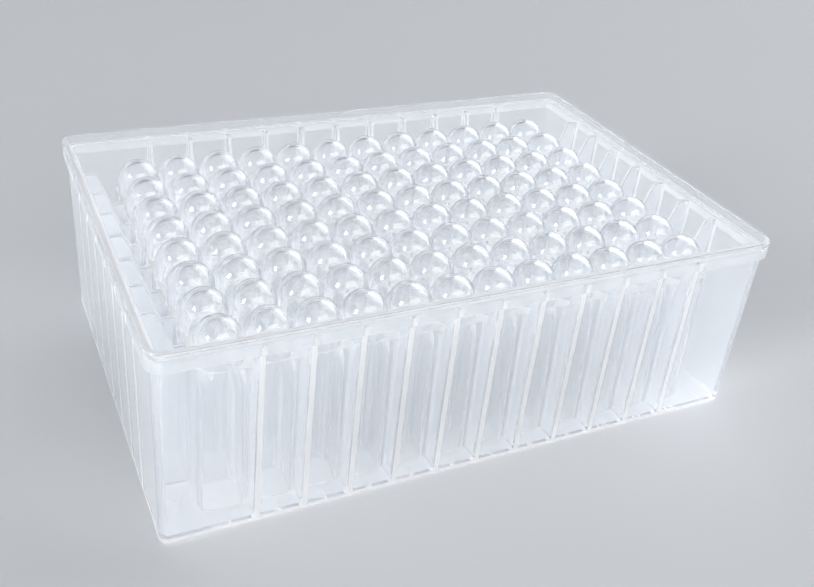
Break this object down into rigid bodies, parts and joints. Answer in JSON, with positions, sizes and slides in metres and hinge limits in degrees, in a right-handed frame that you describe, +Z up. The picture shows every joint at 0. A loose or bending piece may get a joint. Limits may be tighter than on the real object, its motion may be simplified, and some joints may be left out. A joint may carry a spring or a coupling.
{
  "type": "deep-well plate",
  "caption": "Deep-well microplate of clear polypropylene: square wells with round bottoms inside a ribbed skirt and base flange, standing mouth down.",
  "frame": {"origin": "centre of the footprint, in the plane of the well mouths, which the upturned plate rests on", "axes": "+Z up, from the well mouths to the base flange's rim; +X along the length of the plate, from its first column of wells to its last; +Y from row A to row H"},
  "size_m": [0.1278, 0.0854, 0.0419],
  "materials": {
    "clear_plastic": "clear, slightly milky natural polypropylene with a smooth gloss"
  },
  "bodies": {
    "root": {"well_plate": "clear_plastic"}
  },
  "joints": []
}
